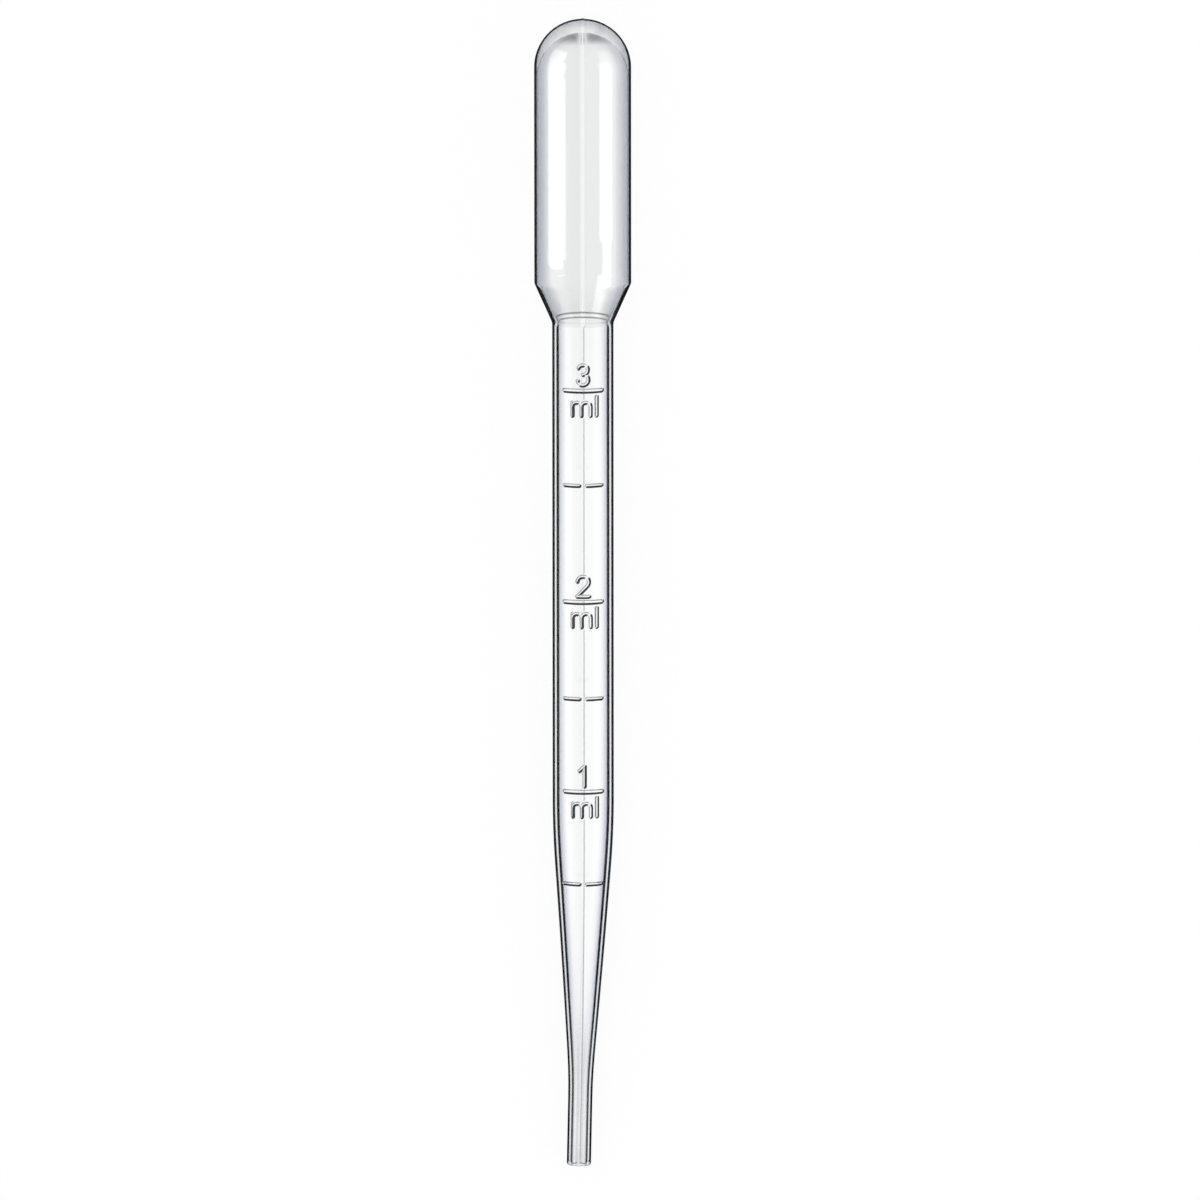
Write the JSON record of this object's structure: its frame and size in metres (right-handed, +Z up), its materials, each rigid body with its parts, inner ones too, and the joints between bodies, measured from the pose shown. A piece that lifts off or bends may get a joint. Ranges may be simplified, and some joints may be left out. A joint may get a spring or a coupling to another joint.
{
  "type": "plastic dropper pipette",
  "caption": "One-piece clear plastic dropper pipette with a domed squeeze bulb, a graduated stem, a long taper and a straight narrow tip, lying down.",
  "frame": {"origin": "middle of the box around the pipette, on the surface that it lies on", "axes": "+Y from the tip towards the bulb, +Z up through the graduations, +X to the right of the numerals"},
  "size_m": [0.0128, 0.155, 0.014],
  "materials": {
    "clear_plastic": "clear, faintly hazy gloss"
  },
  "bodies": {
    "root": {"pipette": "clear_plastic"}
  },
  "joints": []
}
